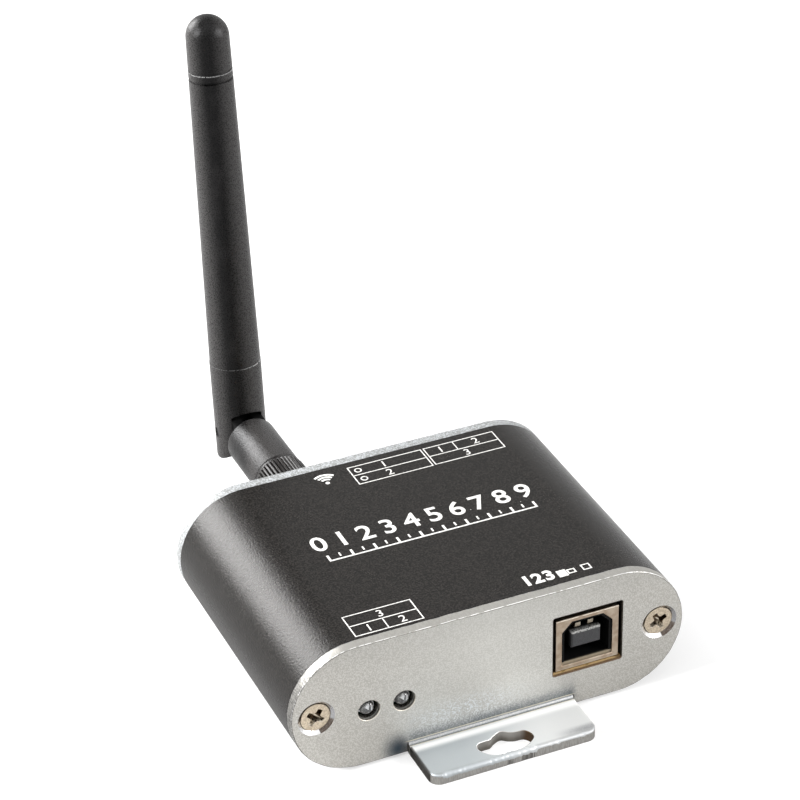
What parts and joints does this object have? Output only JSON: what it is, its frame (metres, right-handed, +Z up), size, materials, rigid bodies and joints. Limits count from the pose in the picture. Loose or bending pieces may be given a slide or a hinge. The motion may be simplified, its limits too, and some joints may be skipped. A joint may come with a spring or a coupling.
{
  "type": "zigbee to usb converter",
  "caption": "Radio to serial converter: black extruded case, silver end plates with keyhole feet, square front socket, signal lamps and a hinged whip aerial on a knurled plug.",
  "frame": {"origin": "midway between the two end plates and between the case's sides, on the plane that the feet stand on", "axes": "-Y is the front with the socket, +Y the rear with the aerial, +Z up, +X to the right seen from the front"},
  "size_m": [0.073, 0.1109, 0.0954],
  "materials": {
    "black_aluminium": "satin black anodised",
    "plate_aluminium": "blasted, bright at the cut edges",
    "screw_nickel": "nickel plated",
    "socket_metal": "nickel plated sheet",
    "socket_plastic": "moulded, dark grey",
    "contact_gold": "gold plated",
    "tin": "tinned",
    "lamp_clear": "clear epoxy",
    "board_green": "solder mask",
    "chip_black": "moulded",
    "ceramic_tan": "fired",
    "switch_plastic": "moulded",
    "jack_brass": "gold plated",
    "nut_black": "black nickel",
    "white_insulator": "white fluoropolymer",
    "cable_brown": "thin coaxial cable",
    "aerial_black": "satin black",
    "pin_black": "blackened pin",
    "radiator_brass": "drawn tube"
  },
  "bodies": {
    "enclosure": {"enclosure_shell": "black_aluminium", "front_plate": "plate_aluminium", "rear_plate": "plate_aluminium", "front_screw_left": "screw_nickel", "front_screw_right": "screw_nickel", "rear_screw_left": "screw_nickel", "rear_screw_right": "screw_nickel", "socket_shell": "socket_metal", "socket_insulator": "socket_plastic", "socket_contacts": "contact_gold", "jack_contact": "contact_gold", "socket_pins": "tin", "lamp_leads": "tin", "bridge_chip_legs": "tin", "regulator_legs": "tin", "module_shield": "tin", "clock_crystal": "tin", "capacitor_can": "tin", "outer_lamp": "lamp_clear", "inner_lamp": "lamp_clear", "main_board": "board_green", "module_board": "board_green", "radio_chip": "chip_black", "bridge_chip": "chip_black", "regulator": "chip_black", "capacitor_base": "chip_black", "chip_resistors": "chip_black", "chip_capacitors": "ceramic_tan", "reset_switch": "switch_plastic", "function_switch": "switch_plastic", "aerial_jack": "jack_brass", "lock_washer": "jack_brass", "hexagon_nut": "jack_brass", "coupling_nut": "nut_black", "jack_insulator": "white_insulator"},
    "aerial_foot": {"plug_ferrule": "jack_brass", "plug_insulator": "white_insulator", "plug_pin": "contact_gold", "elbow_cable": "cable_brown", "aerial_elbow": "aerial_black"},
    "whip": {"whip_base": "aerial_black", "hinge_pin_left": "pin_black", "hinge_pin_right": "pin_black", "whip_sleeve": "aerial_black", "whip_cable": "cable_brown", "whip_radiator": "radiator_brass"},
    "reset_key": {"reset_button": "switch_plastic"},
    "function_key": {"function_button": "switch_plastic"}
  },
  "joints": [
    {"name": "aerial_swivel", "type": "hinge", "parent": "enclosure", "child": "aerial_foot", "pos_m": [-0.0101, 0.0434, 0.0128], "axis": [0, 1, 0], "continuous": true},
    {"name": "aerial_tilt", "type": "hinge", "parent": "aerial_foot", "child": "whip", "pos_m": [-0.0101, 0.06305, 0.0128], "axis": [-1, 0, 0], "range_deg": [-5, 85]},
    {"name": "reset_press", "type": "slide", "parent": "enclosure", "child": "reset_key", "axis": [0, -1, 0], "range_m": [0, 0.00025], "stiffness_N_per_m": 2000, "springref_m": -0.0005},
    {"name": "function_press", "type": "slide", "parent": "enclosure", "child": "function_key", "axis": [0, -1, 0], "range_m": [0, 0.00025], "stiffness_N_per_m": 2000, "springref_m": -0.0005}
  ]
}
